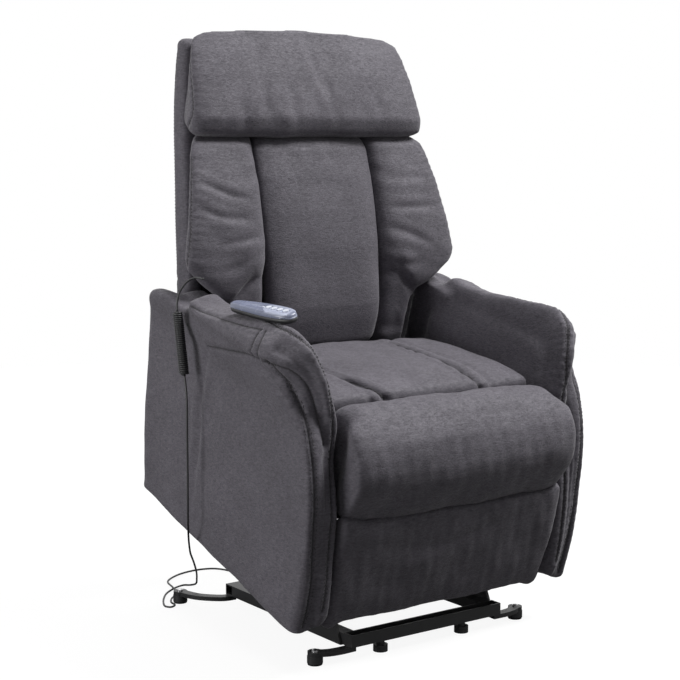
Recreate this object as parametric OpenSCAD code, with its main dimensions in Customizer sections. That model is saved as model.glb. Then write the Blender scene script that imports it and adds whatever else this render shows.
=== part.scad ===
// Lift recliner chair: a powered chair on a steel lift base, drawn partly lifted.
// Millimetres, +Z up, the chair faces -Y. Chair pieces are drawn in the chair's own
// frame, level and with the floor at z = 0, and then carried to the lifted pose.

/* [Chair body] */
// Width over the two side panels
body_w = 760; // [690:5:900]
// Width of each arm, side panel included
arm_w = 94; // [85:1:120]
// Outward lean of the arms above the seat, mm across for each mm up
arm_lean = 0.36; // [0.1:0.02:0.45]
// Thickness of an upholstered side panel
panel_t = 40; // [32:1:48]
// Height of the arm's highest point above the floor, chair lowered
arm_h = 655; // [610:5:720]
// Gap under the side panels, chair lowered
ground_gap = 45; // [35:1:60]
// Height of the seat's front seam above the floor, chair lowered
seat_h = 500; // [480:5:530]
// Height of the front roll
roll_h = 208; // [190:2:220]
// Seat cushion thickness behind the roll
cushion_t = 135; // [115:5:150]
// Height of the back above the seat seam
back_rise = 562; // [470:5:690]
// Thickness of the padded back shell
shell_t = 70; // [60:1:80]
// Half width of the back at the wings
back_half_w = 392; // [360:1:410]
// Half width of the back shell
shell_half = 292; // [250:1:300]

/* [Footrest] */
// Height of the footrest board
board_h = 200; // [180:5:215]
// Thickness of the footrest board
board_t = 12; // [9:1:15]
// Thickness of the footrest's padding
foot_pad_t = 36; // [25:1:40]

/* [Lift base] */
// Width over the base's side rails
base_w = 418; // [380:2:430]
// Length of the base frame
base_l = 506; // [480:2:560]
// Width of a base rail
rail_w = 30; // [24:1:36]
// Height of a base rail
rail_h = 25; // [20:1:28]
// Wall of the steel tubes and channels
steel_t = 3; // [2:0.5:4]
// Height of the rubber foot pads
pad_h = 19; // [15:1:22]
// Radius of a foot pad
pad_r = 17; // [14:1:20]
// Thickness of the foot arms
foot_t = 10; // [8:1:12]
// How far a foot pad stands outside the side rails
foot_out = 73; // [55:1:85]

/* [Linkage] */
// Thickness of the links and brackets
link_t = 6; // [5:0.5:8]
// Half width of the long lift links
link_r = 19; // [16:1:22]
// Radius of the pivot pins
pin_r = 5; // [4:0.5:6]
// Running clearance of a pin in its bore
pin_gap = 0.05; // [0.03:0.01:0.09]
// Radius of the lift torque tube
torque_r = 12; // [10:1:14]
// Radius of the lift actuator's tube
tube_r = 20; // [17:1:24]
// Radius of the lift actuator's rod
rod_r = 10; // [8:0.5:12]

/* [Handset and cord] */
// Length of the handset
handset_l = 188; // [160:2:200]
// Width of the handset
handset_w = 50; // [42:1:56]
// Diameter of the handset's cord
cord_d = 4; // [3.5:0.1:4.5]
// Outer diameter of the curly cord
curl_d = 18; // [14:0.5:22]
// Number of curls
curls = 31; // [20:1:40]

/* [Hidden] */

// Colours
fabric = [0.29, 0.28, 0.29];
black_steel = [0.06, 0.06, 0.065];
bright_steel = [0.75, 0.75, 0.76];
black_plastic = [0.05, 0.05, 0.055];
wood = [0.62, 0.47, 0.30];

// The drawn pose: the chair tips forward by lift_tilt about the floor line and rises
lift_tilt = 17.7;
lift_rise = 142;
// Shift that puts the middle of the chair over the origin
centre_y = 83.8;

// Levels and depths in the chair's frame
half_w = body_w / 2;
arm_inner = half_w - arm_w;
panel_inner = half_w - panel_t;
seat_half = arm_inner - 4;
roll_front = -312;
roll_back = -152;
roll_z = seat_h - roll_h;
seat_rear = 246;
back_top = seat_h + back_rise;
board_y = -250;
board_top = roll_z - 16;
board_z = board_top - board_h;
foot_half = arm_inner + 10;

// Planes of the mechanism, measured from the middle to the inner face of each plate
rail_out = base_w / 2;
rear_link_x = rail_out + link_t + 3.5;
front_link_x = rear_link_x + link_t + 3;
plate_x = front_link_x + link_t + 4.5;
plate_t = 5;
foot_drive_x = rail_out - 13;
foot_upper_x = foot_drive_x - link_t - 3;
foot_bracket_x = foot_upper_x - link_t - 3;

// Pivots on the base, in the base's own frame [y, z]
rear_base_pivot = [-150, 78];
front_base_pivot = [-238, 80];
// Pivots on the chair, in the chair's frame [y, z]
rear_chair_pivot = [245, 106];
front_chair_pivot = [-45, 106];
back_pivot = [310, 380];
foot_pivot = [-140, 250];
foot_knee = [1, 199];
foot_hitch = [-199, 190];

// Lift actuator: its rear pivot, and the crank on the torque tube
motor_pivot = [175, 92];
crank_l = 100;
crank_angle = 110;
crank_tip = rear_base_pivot + crank_l * [cos(crank_angle), sin(crank_angle)];
rod_angle = atan2(crank_tip[1] - motor_pivot[1], crank_tip[0] - motor_pivot[0]);
rod_span = norm(crank_tip - motor_pivot);
tube_l = 272;
open_gap = 4;
rod_eye_gap = 6;

// Base levels
rail_z = pad_h + foot_t;
rail_top = rail_z + rail_h;
base_front = -base_l / 2 - 59;
base_rear = base_front + base_l;
foot_front_y = -280;
foot_rear_y = 283;
foot_x = rail_out + foot_out;

// A point of the chair's frame [y, z] in the base's frame
function lifted(p) = [
  p[0] * cos(lift_tilt) - (p[1] + lift_rise) * sin(lift_tilt),
  p[0] * sin(lift_tilt) + (p[1] + lift_rise) * cos(lift_tilt)];

// ---- Curves and skins ----

// Catmull-Rom value between b and c
function spline(a, b, c, d, t) =
  0.5 * (2 * b + (c - a) * t + (2 * a - 5 * b + 4 * c - d) * t * t
    + (3 * b - a - 3 * c + d) * t * t * t);
// Closed smooth outline through p, n points to each stretch
function smooth_loop(p, n) = let (m = len(p)) [
  for (i = [0:m - 1]) for (k = [0:n - 1])
    spline(p[(i + m - 1) % m], p[i], p[(i + 1) % m], p[(i + 2) % m], k / n)];
// The outline moved inwards by d; the outline runs anticlockwise
function inset(p, d) = let (m = len(p)) [
  for (i = [0:m - 1]) let (
    e = p[(i + 1) % m] - p[(i + m - 1) % m],
    u = e / max(norm(e), 0.01))
    p[i] + d * [-u[1], u[0]]];
// The outline with a point added wherever it crosses the level z
function crossed(p, z) = let (m = len(p)) [
  for (i = [0:m - 1]) let (a = p[i], b = p[(i + 1) % m])
    each (a[1] - z) * (b[1] - z) < 0 ? [a, a + (b - a) * (z - a[1]) / (b[1] - a[1])] : [a]];
function middle(ring) = [for (k = [0:2]) (min([for (q = ring) q[k]]) + max([for (q = ring) q[k]])) / 2];

// Closed skin through rings of equal length, given from one end to the other.
// ends holds the middle points of the two end faces.
module skin(rings, ends = []) {
  n = len(rings[0]);
  m = len(rings);
  points = concat([for (r = rings) each r], len(ends) == 2 ? ends : [middle(rings[0]), middle(rings[m - 1])]);
  walls = [for (j = [0:m - 2]) for (i = [0:n - 1]) each [
    [j * n + i, (j + 1) * n + (i + 1) % n, j * n + (i + 1) % n],
    [j * n + i, (j + 1) * n + i, (j + 1) * n + (i + 1) % n]]];
  first = [for (i = [0:n - 1]) [m * n, i, (i + 1) % n]];
  last = [for (i = [0:n - 1]) [m * n + 1, (m - 1) * n + (i + 1) % n, (m - 1) * n + i]];
  polyhedron(points, concat(walls, first, last));
}

// Upholstered slab with a side outline [y, z], between x0 and x1, its edges rounded by r.
// channels holds [x, depth] pairs where a seam draws the cover in.
// Above lean_from the slab leans outwards by lean.
module padded_slab(outline, x0, x1, r, channels = [], lean = 0) {
  steps = [0, 30, 60, 90];
  edge = [for (a = steps) [x0 + r * (1 - cos(a)), r * (1 - sin(a))]];
  far = [for (k = [3:-1:0]) [x1 - r * (1 - cos(steps[k])), r * (1 - sin(steps[k]))]];
  stations = concat(edge, [for (c = channels) c], far);
  line = lean == 0 ? outline : crossed(outline, lean_from);
  rings = [for (s = stations) [for (q = inset(line, s[1]))
    [s[0] + lean * max(0, q[1] - lean_from), q[0], q[1]]]];
  skin(rings, lean == 0 ? [] : [for (k = [0, len(rings) - 1]) [stations[k][0], middle(rings[k])[1], lean_from]]);
}

// Cushion stacked from level rings: [z, half width, y front, y back, x centre].
// Its width about x = 0 shrinks by the share taper from front to back, and its top
// rises by crown towards the middle.
module stacked_cushion(levels, squareness = 0.5, taper = 0, crown = 0, n = 28) {
  low = levels[0][0];
  high = levels[len(levels) - 1][0];
  skin([for (v = levels) [for (i = [0:n - 1]) let (
    a = 360 * i / n,
    c = sign(cos(a)) * pow(abs(cos(a)), squareness),
    s = sign(sin(a)) * pow(abs(sin(a)), squareness),
    narrow = 1 - taper * (1 + s) / 2)
    [(v[4] + v[1] * c) * narrow, (v[2] + v[3]) / 2 + (v[3] - v[2]) / 2 * s,
      v[0] + crown * (1 - c * c) * (v[0] - low) / (high - low)]]]);
}

// ---- Carriers ----

module on_base() translate([0, centre_y, 0]) children();
module on_chair()
  translate([0, centre_y, 0]) rotate([lift_tilt, 0, 0]) translate([0, 0, lift_rise]) children();
module both_sides() {
  children();
  mirror([1, 0, 0]) children();
}
// A plate lying in a plane of constant x, drawn as a [y, z] outline
module side_plate(x, t) translate([x, 0, 0]) rotate([90, 0, 90]) linear_extrude(t) children();
// A pin or tube along x through [y, z]
module cross_pin(x, l, p, r) translate([x, p[0], p[1]]) rotate([0, 90, 0]) cylinder(r = r, h = l, $fn = 48);
// Flat link between two pivots
module link_plate(x, t, a, b, r) {
  d = b - a;
  side_plate(x, t) {
    translate(a) circle(r, $fn = 48);
    translate(b) circle(r, $fn = 48);
    translate(a) rotate(atan2(d[1], d[0])) translate([0, -r * 0.72]) square([norm(d), r * 1.44]);
  }
}
// Square tube along x
module cross_tube(x0, x1, y, z, w, h) difference() {
  translate([x0, y, z]) cube([x1 - x0, w, h]);
  translate([x0 - 1, y + steel_t, z + steel_t]) cube([x1 - x0 + 2, w - 2 * steel_t, h - 2 * steel_t]);
}

// ---- Lift base ----

module base_side_rails() color(black_steel) on_base() both_sides()
  difference() {
    translate([rail_out - rail_w, base_front + rail_w, rail_z]) cube([rail_w, base_l - 2 * rail_w, rail_h]);
    translate([rail_out - rail_w + steel_t, base_front, rail_z + steel_t])
      cube([rail_w - 2 * steel_t, base_l, rail_h - 2 * steel_t]);
  }

// Channel with its open side up and a folded front lip
module base_front_bar() color(black_steel) on_base()
  translate([-rail_out, base_front, rail_z]) difference() {
    cube([base_w, rail_w, rail_h + 2]);
    translate([steel_t, steel_t, steel_t]) cube([base_w - 2 * steel_t, rail_w - 2 * steel_t, rail_h + 2]);
  }

module base_rear_bar() color(black_steel) on_base()
  cross_tube(-rail_out, rail_out, base_rear - rail_w, rail_z, rail_w, rail_h);

// Upright ears that carry the two lift pivots on each side
module base_pivot_brackets() color(black_steel) on_base() both_sides()
  difference() {
    side_plate(rail_out, link_t + 0.5) {
      polygon([[base_front + 32, rail_z], [rear_base_pivot[0] + 40, rail_z], [rear_base_pivot[0] + 26, rail_top + 6],
        rear_base_pivot + [20, 8], rear_base_pivot + [9, 22], rear_base_pivot + [-9, 22],
        front_base_pivot + [22, 6], front_base_pivot + [10, 15], front_base_pivot + [-8, 15],
        front_base_pivot + [-16, 4]]);
    }
    cross_pin(rail_out - 1, link_t + 3, rear_base_pivot, torque_r + pin_gap);
    cross_pin(rail_out - 1, link_t + 3, front_base_pivot, pin_r);
  }

// Curved flat arm from a corner of the base out to its foot, along a plan line [x, y]
module foot_arm(line) {
  route = smooth_path(line, 6);
  m = len(route);
  along = [for (i = [0:m - 1]) unit(route[min(i + 1, m - 1)] - route[max(i - 1, 0)])];
  half = 11;
  foot = line[len(line) - 1];
  difference() {
    translate([0, 0, pad_h]) linear_extrude(foot_t) {
      polygon(concat([for (i = [0:m - 1]) route[i] + half * [-along[i][1], along[i][0]]],
        [for (i = [m - 1:-1:0]) route[i] - half * [-along[i][1], along[i][0]]]));
      translate(foot) circle(pad_r - 1, $fn = 48);
    }
    translate([foot[0], foot[1], pad_h - 1]) cylinder(r = 3.5, h = foot_t + 2, $fn = 32);
  }
}
module foot_arms() color(black_steel) on_base() both_sides() {
  foot_arm([[rail_out - 14, base_front + 15], [rail_out + 22, base_front + 14],
    [foot_x - 22, base_front + 19], [foot_x, foot_front_y]]);
  foot_arm([[rail_out - 14, base_rear - 15], [rail_out + 18, base_rear - 8],
    [foot_x - 16, base_rear + 34], [foot_x, foot_rear_y]]);
}
module foot_pads() color(black_plastic) on_base() both_sides()
  for (y = [foot_front_y, foot_rear_y]) translate([foot_x, y, 0]) {
    cylinder(r1 = pad_r - 1.5, r2 = pad_r, h = 4, $fn = 48);
    translate([0, 0, 4]) cylinder(r = pad_r, h = pad_h - 4, $fn = 48);
  }
module front_glides() color(black_plastic) on_base() both_sides()
  translate([114, base_front + 25, 0]) {
    cylinder(r = 16, h = pad_h - 4, $fn = 48);
    translate([0, 0, pad_h - 4]) cylinder(r = 9, h = rail_z - pad_h + 4, $fn = 48);
  }
// Bright dome-head screws over the feet and in the front channel
module base_screws() color(bright_steel) on_base() both_sides() {
  for (y = [foot_front_y, foot_rear_y]) translate([foot_x, y, pad_h + foot_t]) {
    cylinder(r = 7, h = 2.5, $fn = 32);
    translate([0, 0, 2.5]) cylinder(r1 = 6.5, r2 = 3.5, h = 2, $fn = 32);
    translate([0, 0, -foot_t]) cylinder(r = 3.4, h = foot_t, $fn = 32);
  }
  translate([114, base_front + 15, rail_z + steel_t]) {
    cylinder(r = 8, h = 2.5, $fn = 32);
    translate([0, 0, 2.5]) cylinder(r = 5, h = 4, $fn = 32);
  }
}
module front_link_pins() color(bright_steel) on_base() both_sides() {
  cross_pin(rail_out - 3, front_link_x + link_t + 7 - rail_out, front_base_pivot, pin_r);
  cross_pin(rail_out + link_t + 0.5, front_link_x - rail_out - link_t - 0.8, front_base_pivot, pin_r + 3);
}
module lift_actuator_clevis() color(black_steel) on_base() {
  both_sides() difference() {
    side_plate(27, 5) polygon([[base_rear - rail_w + 2, rail_top], [base_rear - 2, rail_top],
      [base_rear - 6, rail_top + 16], motor_pivot + [10, 12], motor_pivot + [-6, 14],
      motor_pivot + [-14, 4], motor_pivot + [-12, -10]]);
    cross_pin(20, 20, motor_pivot, pin_r + pin_gap);
  }
}

// ---- Lift linkage ----

module rear_lift_links() color(black_steel) on_base() both_sides() difference() {
  link_plate(rear_link_x, link_t, rear_base_pivot, lifted(rear_chair_pivot), link_r);
  cross_pin(rear_link_x - 1, link_t + 2, rear_base_pivot, torque_r);
  cross_pin(rear_link_x - 1, link_t + 2, lifted(rear_chair_pivot), pin_r + pin_gap);
}
// Tube on the base pivots with the twin crank that the actuator pushes
module lift_torque_tube() color(black_steel) on_base() {
  cross_pin(-rear_link_x - link_t, 2 * (rear_link_x + link_t), rear_base_pivot, torque_r);
  both_sides() difference() {
    link_plate(17, link_t, rear_base_pivot, crank_tip, 16);
    cross_pin(16, link_t + 2, rear_base_pivot, torque_r - 1);
  }
  cross_pin(-27, 54, crank_tip, pin_r + 1);
}
module front_lift_links() color(black_steel) on_base() both_sides() difference() {
  link_plate(front_link_x, link_t, front_base_pivot, lifted(front_chair_pivot), link_r - 3);
  cross_pin(front_link_x - 1, link_t + 2, front_base_pivot, pin_r + pin_gap);
  cross_pin(front_link_x - 1, link_t + 2, lifted(front_chair_pivot), pin_r + open_gap);
}
// Places children along the actuator, +X from its rear pivot to the crank
module along_rod() on_base() translate([0, motor_pivot[0], motor_pivot[1]])
  rotate([rod_angle, 0, 0]) rotate([0, 0, 90]) children();
module lift_motor() color(black_plastic) along_rod() {
  difference() {
    union() {
      translate([28, -24, -24]) cube([62, 48, 48]);
      translate([-14, -26, -12]) cube([44, 52, 24]);
    }
    rotate([90, 0, 0]) translate([0, 0, -40]) cylinder(r = pin_r, h = 80, $fn = 48);
    translate([62, 0, 0]) rotate([0, 90, 0]) cylinder(r = tube_r + 0.3, h = 40, $fn = 64);
  }
  translate([59, 24, -1]) rotate([-90, 0, 0]) cylinder(r = 22, h = 78, $fn = 64);
  rotate([90, 0, 0]) translate([0, 0, -33]) cylinder(r = pin_r, h = 66, $fn = 48);
}
module lift_tube() color(black_steel) along_rod() difference() {
  translate([62.3, 0, 0]) rotate([0, 90, 0]) cylinder(r = tube_r, h = tube_l - 62.3, $fn = 64);
  translate([66, 0, 0]) rotate([0, 90, 0]) cylinder(r = rod_r + 0.1, h = tube_l, $fn = 64);
}
module lift_rod() color(bright_steel) along_rod() {
  translate([rod_span - 200, 0, 0]) rotate([0, 90, 0]) cylinder(r = rod_r, h = 182, $fn = 64);
  difference() {
    translate([rod_span, 0, 0]) rotate([90, 0, 0]) cylinder(r = 19, h = 26, center = true, $fn = 48);
    translate([rod_span, 0, 0]) rotate([90, 0, 0]) cylinder(r = pin_r + 1 + rod_eye_gap, h = 40, center = true, $fn = 48);
  }
}

// ---- Chassis ----

module chassis_plates() color(black_steel) on_chair() both_sides() difference() {
  side_plate(plate_x, plate_t) polygon([[-215, roll_z - 30], [-160, 225], [-80, 178],
    front_chair_pivot + [-22, -10], front_chair_pivot + [-9, -22], front_chair_pivot + [9, -22],
    front_chair_pivot + [22, -8], [0, 186], [170, 186], rear_chair_pivot + [-24, -8],
    rear_chair_pivot + [-10, -22], rear_chair_pivot + [10, -22], rear_chair_pivot + [23, -8], [276, 200],
    [296, 300], [334, 362], [336, 386], [322, 402], [296, 402], [236, 338], [-146, 338],
    [-146, roll_z - 4], [-215, roll_z - 4]]);
  cross_pin(plate_x - 1, plate_t + 2, foot_pivot, 8 + pin_gap);
  cross_pin(plate_x - 1, plate_t + 2, back_pivot, pin_r + pin_gap);
}
module chassis_pins() color(bright_steel) on_chair() both_sides() {
  cross_pin(rear_link_x - 2, plate_x - rear_link_x + 2, rear_chair_pivot, pin_r);
  cross_pin(rear_link_x + link_t + 0.3, plate_x - rear_link_x - link_t - 0.3, rear_chair_pivot, pin_r + 4);
  cross_pin(front_link_x - 2, plate_x - front_link_x + 2, front_chair_pivot, pin_r);
  cross_pin(front_link_x + link_t + 0.3, plate_x - front_link_x - link_t - 0.3, front_chair_pivot, pin_r + 7);
}
rail_y = [-202, -146, 40, 200];
spring_z = seat_h - cushion_t - 34;
module seat_rails() color(black_steel) on_chair() {
  cross_tube(-plate_x, plate_x, rail_y[0], roll_z - 30, 26, 26);
  cross_tube(-plate_x, plate_x, rail_y[1], spring_z - 26, 26, 26);
  cross_tube(-plate_x, plate_x, rail_y[2], 272, 24, 24);
  cross_tube(-plate_x, plate_x, rail_y[3], spring_z - 26, 26, 26);
}
// Zigzag seat springs between the front and rear rails
spring_w = 26;
spring_d = 3.5;
spring_steps = 13;
module spring_wire() {
  y0 = rail_y[1] + 8;
  pitch = (rail_y[3] + 14 - y0) / spring_steps;
  for (i = [0:spring_steps]) translate([-spring_w / 2, y0 + i * pitch, 0]) cube([spring_w, spring_d, spring_d]);
  for (i = [0:spring_steps - 1])
    translate([(i % 2 == 0 ? 1 : -1) * (spring_w - spring_d) / 2 - spring_d / 2, y0 + i * pitch + spring_d / 2, 0])
      cube([spring_d, pitch, spring_d]);
}
module seat_springs() color(bright_steel) on_chair()
  for (x = [-180, -90, 0, 90, 180]) translate([x, 0, spring_z]) spring_wire();
module arm_brackets() color(black_steel) on_chair() both_sides()
  for (y = [-120, 110]) {
    translate([plate_x + plate_t, y, 270]) cube([arm_inner + 2 - plate_x - plate_t, 40, 4]);
    translate([plate_x + plate_t, y, 274]) cube([4, 40, 40]);
    translate([arm_inner - 2, y, 274]) cube([4, 40, 40]);
  }

// ---- Arms and panels ----

// Side outline of the outer panel: rear edge leans back, front edge rolls
lean_from = 470;
panel_front = -270;
panel_outline = smooth_loop([[panel_front + 6, ground_gap + 3], [-150, ground_gap], [100, ground_gap],
  [348, ground_gap], [368, ground_gap + 22], [408, 255], [446, 470], [440, 512], [404, 535], [330, 548],
  [262, 532], [200, arm_h - 127], [120, arm_h - 119], [40, arm_h - 112], [-30, arm_h - 108], [-90, arm_h - 111],
  [-130, arm_h - 123], [-166, arm_h - 148], [-200, arm_h - 172], [-230, arm_h - 216], [-250, arm_h - 266],
  [-263, arm_h - 326], [panel_front, 229], [panel_front - 2, 138], [panel_front + 1, 70]], 2);
// The arm pad follows this line over the top and down the inner front:
// [y, z, half height, x0, x1, fall of its top outwards], x0 from the arm's inner face, x1 from its outer
pad_line = [[266, arm_h - 93, 4, 14, 34, 0.2], [256, arm_h - 93, 15, 4, 10, 0.25], [200, arm_h - 97, 18, 2, 2, 0.3],
  [120, arm_h - 87, 20, 2, 2, 0.35], [40, arm_h - 76, 24, 2, 2, 0.45], [-30, arm_h - 67, 28, 3, 2, 0.58],
  [-85, arm_h - 62, 32, 4, 6, 0.68], [-124, arm_h - 71, 32, 6, 16, 0.72], [-152, arm_h - 100, 30, 9, 37, 0.72],
  [-171, arm_h - 150, 27, 11, 41.5, 0.7], [-180, lean_from, 25, 12, 41.5, 0.65],
  [-188, arm_h - 222, 24, 13, 41.5, 0.6], [-204, 350, 21, 14, 41.5, 0.5],
  [-218, 250, 18, 15, 41.5, 0.4], [-230, 150, 15, 16, 41.5, 0.3], [-238, 85, 12, 18, 44, 0.2],
  [-240, ground_gap + 18, 4, 24, 50, 0]];
function pad_along(j) = let (
  q0 = pad_line[max(j - 1, 0)],
  q1 = pad_line[min(j + 1, len(pad_line) - 1)],
  d = [q1[0] - q0[0], q1[1] - q0[1]]) d / norm(d);
function pad_up(j) = [pad_along(j)[1], -pad_along(j)[0]];
// The arm's inner frame stops just under the pad
frame_outline = concat(
  [[pad_line[15][0] + 16, ground_gap + 16], [240, ground_gap + 16], [250, ground_gap + 30], [256, 300],
    [256, arm_h - 115]],
  [for (j = [2:15]) [pad_line[j][0], pad_line[j][1]] - (pad_line[j][2] + 1.5) * pad_up(j)]);

module side_panel() padded_slab(panel_outline, panel_inner, half_w, 10, [], arm_lean);
module arm_frame() padded_slab(frame_outline, arm_inner + 2, panel_inner - 0.3, 4, [], arm_lean);
module arm_pad() {
  n = 20;
  skin([for (j = [0:len(pad_line) - 1]) let (p = pad_line[j], up = pad_up(j), wide = (arm_w - p[4] - p[3]) / 2)
    [for (i = [0:n - 1]) let (
      a = 360 * i / n,
      sx = sign(cos(a)) * pow(abs(cos(a)), 0.5),
      sz = sign(sin(a)) * pow(abs(sin(a)), 0.5),
      rise = p[2] * sz - p[5] * wide * sx * (sz + 1) / 2,
      z = p[1] + up[1] * rise)
      [arm_inner + p[3] + wide * (1 + sx) + arm_lean * max(0, z - lean_from), p[0] + up[0] * rise, z]]]);
}
module left_side_panel() color(fabric) on_chair() mirror([1, 0, 0]) side_panel();
module right_side_panel() color(fabric) on_chair() side_panel();
module left_arm_frame() color(fabric) on_chair() mirror([1, 0, 0]) arm_frame();
module right_arm_frame() color(fabric) on_chair() arm_frame();
module left_arm_pad() color(fabric) on_chair() mirror([1, 0, 0]) arm_pad();
module right_arm_pad() color(fabric) on_chair() arm_pad();

module rear_panel() color(fabric) on_chair()
  padded_slab([[344, 62], [356, 62], [398, 246], [386, 248]], -panel_inner + 0.5, panel_inner - 0.5, 3);

// ---- Seat ----

seat_dip = 62;
seat_swell = 6;
seat_front = roll_back + seat_swell + 5.5;
seat_base = spring_z + spring_d + seat_swell + 1.6;
seat_outline = smooth_loop([[seat_front + 12, seat_base + 3], [-90, seat_base], [200, seat_base], [seat_rear - 2, seat_base + 16],
  [seat_rear, seat_h - seat_dip - 22], [seat_rear - 10, seat_h - seat_dip], [160, seat_h - 44], [60, seat_h - 22],
  [-40, seat_h - 6], [-112, seat_h - 2], [seat_front + 3, seat_h - 14], [seat_front, 420],
  [seat_front + 2, seat_base + 12]], 2);
module seat_cushion() color(fabric) on_chair()
  padded_slab(seat_outline, -seat_half, seat_half, 22,
    [[-180, 0], [-168, 7], [-156, 0], [-80, -4], [0, -seat_swell], [80, -4], [156, 0], [168, 7], [180, 0]]);

roll_outline = smooth_loop([[-240, roll_z + 2], [-205, roll_z + 1], [-172, roll_z + 8], [roll_back - 2, roll_z + 40], [roll_back, roll_z + 150],
  [roll_back - 3, seat_h - 14], [-190, seat_h + 5], [-240, seat_h - 4], [-284, seat_h - 38], [roll_front + 2, seat_h - 92],
  [roll_front + 4, seat_h - 140], [-292, seat_h - 180], [-268, seat_h - 203]], 2);
module seat_front_roll() color(fabric) on_chair()
  padded_slab(roll_outline, -seat_half - 1, seat_half + 1, 30, [[-150, -3], [0, -5], [150, -3]]);

// ---- Back ----

// Rear line of the back, front line of its shell
shell_outline = smooth_loop([[372, 288], [400, 292], [446, 338], [476, 420], [494, 500], [556, 680],
  [608, back_top - 234], [634, back_top - 132], [647, back_top - 40], [638, back_top - 14], [612, back_top - 12], [596, back_top - 40],
  [575, back_top - 132], [545, back_top - 234], [490, 680], [425, 500], [400, 420], [374, 330]], 2);
pocket_outline = [[340, 322], [392, 334], [420, 420], [447, 500], [513, 680],
  [568, back_top - 234], [598, back_top - 132],  [612, back_top - 70], [560, back_top - 70], [520, back_top - 234],
  [465, 680], [400, 500], [375, 420]];
function shell_front(z) =
  z < 420 ? 374 + (z - 330) * 26 / 90 : z < 500 ? 400 + (z - 420) * 25 / 80 :
  z < 680 ? 425 + (z - 500) * 65 / 180 :
  z < back_top - 234 ? 490 + (z - 680) * 55 / (back_top - 234 - 680) :
  z < back_top - 132 ? 545 + (z - back_top + 234) * 30 / 102 : 575 + (z - back_top + 132) * 21 / 92;
module back_shell() color(fabric) on_chair() difference() {
  padded_slab(shell_outline, -shell_half, shell_half, 14);
  side_plate(-frame_x - 9.5, 2 * frame_x + 19) polygon(pocket_outline);
}
// Steel frame in the shell's pocket, joined to the hinge brackets
frame_x = plate_x + plate_t + 0.3;
frame_line = [[390.6, 340], [417.6, 424], [444.6, 500], [510.6, 680], [564.6, back_top - 236],
  [592.6, back_top - 140], [604.6, back_top - 92]];
module back_frame() color(black_steel) on_chair() {
  both_sides() side_plate(frame_x + 5, 4)
    polygon(concat(frame_line, [for (k = [6:-1:0]) frame_line[k] + [-12, 3]]));
  for (k = [2, 3, 5]) translate([-frame_x - 5, frame_line[k][0] - 9, frame_line[k][1] - 12])
    cube([2 * (frame_x + 5), 3, 22]);
}
module back_hinge_brackets() color(black_steel) on_chair() both_sides() {
  difference() {
    side_plate(frame_x, 5) polygon([back_pivot + [-12, -8], back_pivot + [10, -14],
      [380, 336], [400, 400], [392, 408], back_pivot + [0, 16], back_pivot + [-12, 8]]);
    cross_pin(plate_x, 20, back_pivot, pin_r);
  }
  cross_pin(plate_x - 4, plate_t + 12, back_pivot, pin_r);
}
// Centre panel, wings and headrest: [z, half width, y front, y back, x centre]
function rear_of(z) = shell_front(z) - 0.1;
// The centre cushion rests on the frame's cross bars
function rear_centre(z) = shell_front(z) + 6.7;
back_taper = 1 - (shell_half - 2) / back_half_w;
module back_centre_cushion() color(fabric) on_chair()
  stacked_cushion([[444, 110, 306, 352, 0], [450, 142, 274, rear_centre(450), 0], [466, 158, 262, rear_centre(466), 0],
    [500, 163, 266, rear_centre(500), 0], [560, 166, 288, rear_centre(560), 0], [640, 168, 322, rear_centre(640), 0],
    [720, 169, 362, rear_centre(720), 0], [790, 169, 404, rear_centre(790), 0], [840, 168, 440, rear_centre(840), 0],
    [856, 160, 460, rear_centre(856), 0], [862, 140, 486, rear_centre(862) - 10, 0]], 0.35, back_taper);
// Inner edge of a wing at the front, and its outer edge at three heights
wing_in = 175;
function wing(z, outer, front) = [z, (outer - wing_in) / 2, front, rear_of(z), (outer + wing_in) / 2];
wing_levels = [[452, 34, 318, 352, 216], wing(460, 246, 300), wing(500, 252, 290), wing(560, 262, 300),
  wing(586, 290, 312), wing(596, 350, 304), wing(610, back_half_w - 5, 300), wing(632, back_half_w, 303),
  wing(700, back_half_w - 14, 334), wing(780, back_half_w - 32, 386), wing(835, back_half_w - 46, 428),
  wing(852, back_half_w - 54, 446), [863, 70, 480, rear_of(863) - 8, 244]];
module back_wing() stacked_cushion(wing_levels, 0.4, back_taper);
module back_left_wing() color(fabric) on_chair() mirror([1, 0, 0]) back_wing();
module back_right_wing() color(fabric) on_chair() back_wing();
head_taper = 1 - (shell_half - 2) / 320;
module headrest_cushion() color(fabric) on_chair()
  stacked_cushion([[867, 270, 496, 530, 0], [871, 306, 468, 0.9 + rear_of(871), 0], [886, 319, 448, 0.9 + rear_of(886), 0],
    [915, 321, 450, 0.9 + rear_of(915), 0], [950, 319, 476, 0.9 + rear_of(950), 0], [990, 313, 512, 0.9 + rear_of(990), 0],
    [back_top - 34, 303, 552, 0.9 + rear_of(back_top - 34), 0], [back_top - 12, 294, 578, 604, 0],
    [back_top, 262, 588, 602, 0]], 0.3, head_taper, 15);

// ---- Footrest ----

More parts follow.
